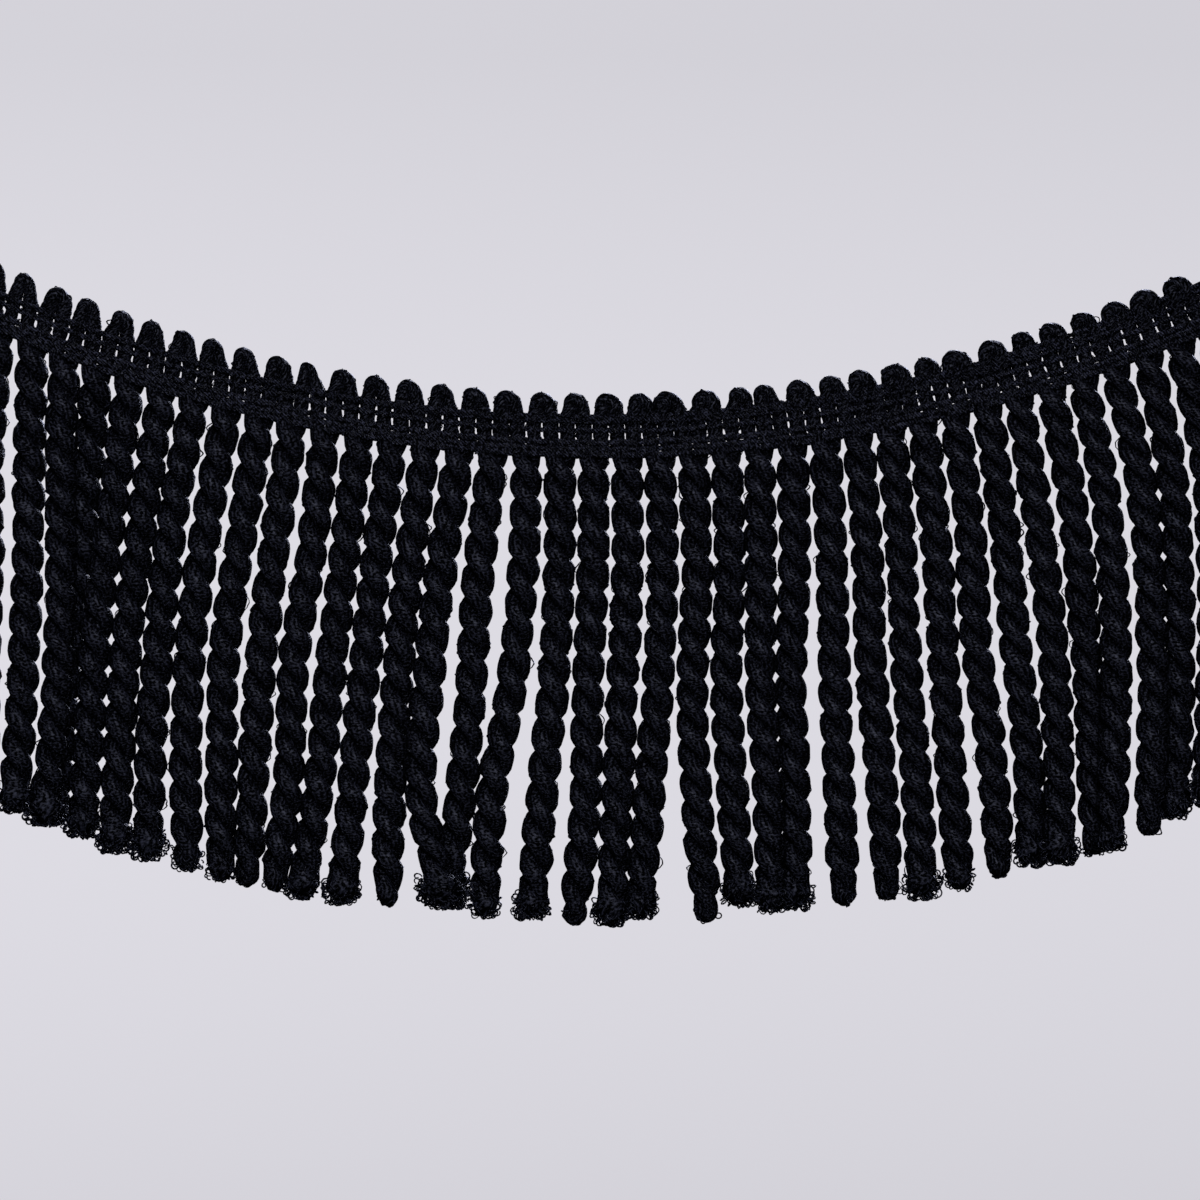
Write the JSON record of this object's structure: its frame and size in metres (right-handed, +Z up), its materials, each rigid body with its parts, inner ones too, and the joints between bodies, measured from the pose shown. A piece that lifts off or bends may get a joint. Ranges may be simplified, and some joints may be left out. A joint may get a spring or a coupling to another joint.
{
  "type": "bullion fringe trim",
  "caption": "Hanging length of black bullion fringe: a scalloped, chain-bound heading in a shallow swag, with thick twisted cords falling from it.",
  "frame": {"origin": "top edge at the middle of the length, where the swag hangs lowest", "axes": "+X along the heading, +Y out of its back, +Z up"},
  "size_m": [0.2577, 0.0114, 0.1295],
  "materials": {
    "roping_yarn": "soft black yarn with a slight sheen",
    "chain_thread": "fine black thread"
  },
  "bodies": {
    "root": {"bullion_fringe": "roping_yarn", "chain_row_1": "chain_thread", "chain_row_2": "chain_thread", "chain_row_3": "chain_thread", "chain_row_4": "chain_thread"}
  },
  "joints": []
}
